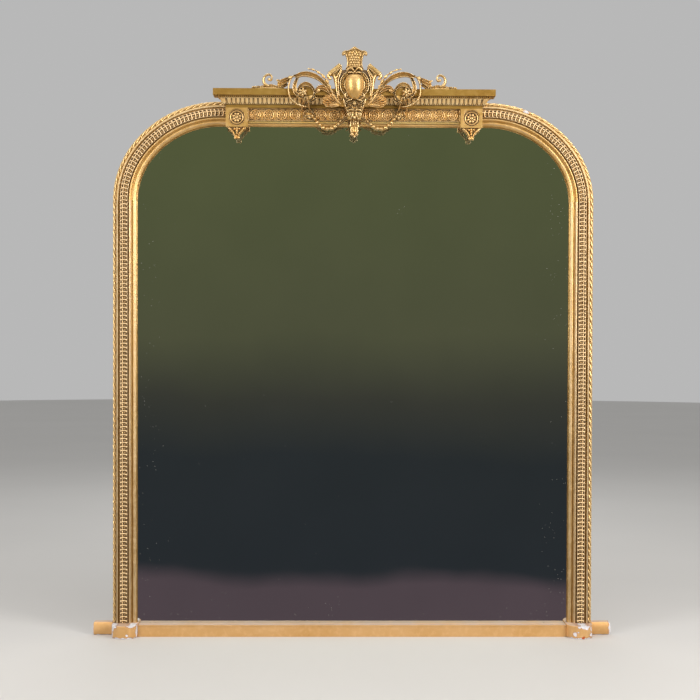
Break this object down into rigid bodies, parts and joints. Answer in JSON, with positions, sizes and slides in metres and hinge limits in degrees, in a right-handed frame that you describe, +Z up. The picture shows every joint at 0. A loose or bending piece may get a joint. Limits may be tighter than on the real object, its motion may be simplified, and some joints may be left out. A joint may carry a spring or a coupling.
{
  "type": "overmantel mirror",
  "caption": "Gilded overmantel mirror with an arched top, a carved crest on a mitred cornice, rope and pearl mouldings and a bow-fronted plinth.",
  "frame": {"origin": "bottom centre of the back: on the wall plane, level with the shelf that the plinth stands on", "axes": "+X to the right as seen from the front, +Z up, the mirror faces -Y and +Y points into the wall"},
  "size_m": [1.606, 0.144, 1.8],
  "materials": {
    "gilded_wood": "satin",
    "gilded_composition": "satin",
    "bronze_gilding": "satin",
    "silvered_glass": "polished",
    "bare_pine": "raw",
    "brass": "worn",
    "iron": "raw"
  },
  "bodies": {
    "root": {"mirror_plate": "silvered_glass", "glazing_blocks": "bare_pine", "backboards": "bare_pine", "backboard_nails": "iron", "joint_dowels": "bare_pine", "hanging_plates": "brass", "hanging_screws": "brass", "stile_left": "gilded_wood", "stile_right": "gilded_wood", "arch_left": "gilded_wood", "arch_right": "gilded_wood", "top_rail": "gilded_wood", "rope_stile_left": "gilded_composition", "rope_stile_right": "gilded_composition", "rope_arch_left": "gilded_composition", "rope_arch_right": "gilded_composition", "pearl_stile_left": "gilded_composition", "pearl_stile_right": "gilded_composition", "pearl_arch_left": "gilded_composition", "pearl_arch_right": "gilded_composition", "plinth_rail": "bronze_gilding", "plinth_block_left": "bronze_gilding", "plinth_block_right": "bronze_gilding", "plinth_ear_left": "bronze_gilding", "plinth_ear_right": "bronze_gilding", "corner_block_left": "gilded_wood", "corner_block_right": "gilded_wood", "patera_left": "gilded_composition", "patera_right": "gilded_composition", "block_drop_left": "gilded_composition", "block_drop_right": "gilded_composition", "frieze_panel": "gilded_composition", "cornice": "gilded_wood", "dentil_course": "gilded_composition", "tongue_course": "gilded_composition", "crest_board": "bare_pine", "crest_apron": "gilded_composition", "cartouche_rim": "gilded_composition", "cartouche_pearls": "gilded_composition", "cartouche_boss": "gilded_composition", "strap_left": "gilded_composition", "strap_right": "gilded_composition", "finial_palmette": "gilded_composition", "mask_palmette": "gilded_composition", "centre_drop": "gilded_composition", "scroll_left": "gilded_composition", "scroll_right": "gilded_composition", "scroll_flower_left": "gilded_composition", "scroll_flower_right": "gilded_composition", "husk_chain_left": "gilded_composition", "husk_chain_right": "gilded_composition", "fan_leaf_left": "gilded_composition", "fan_leaf_right": "gilded_composition", "bellflower_left": "gilded_composition", "bellflower_right": "gilded_composition", "garland_left": "gilded_composition", "garland_right": "gilded_composition", "cornice_curl_left": "gilded_composition", "cornice_curl_right": "gilded_composition"}
  },
  "joints": []
}
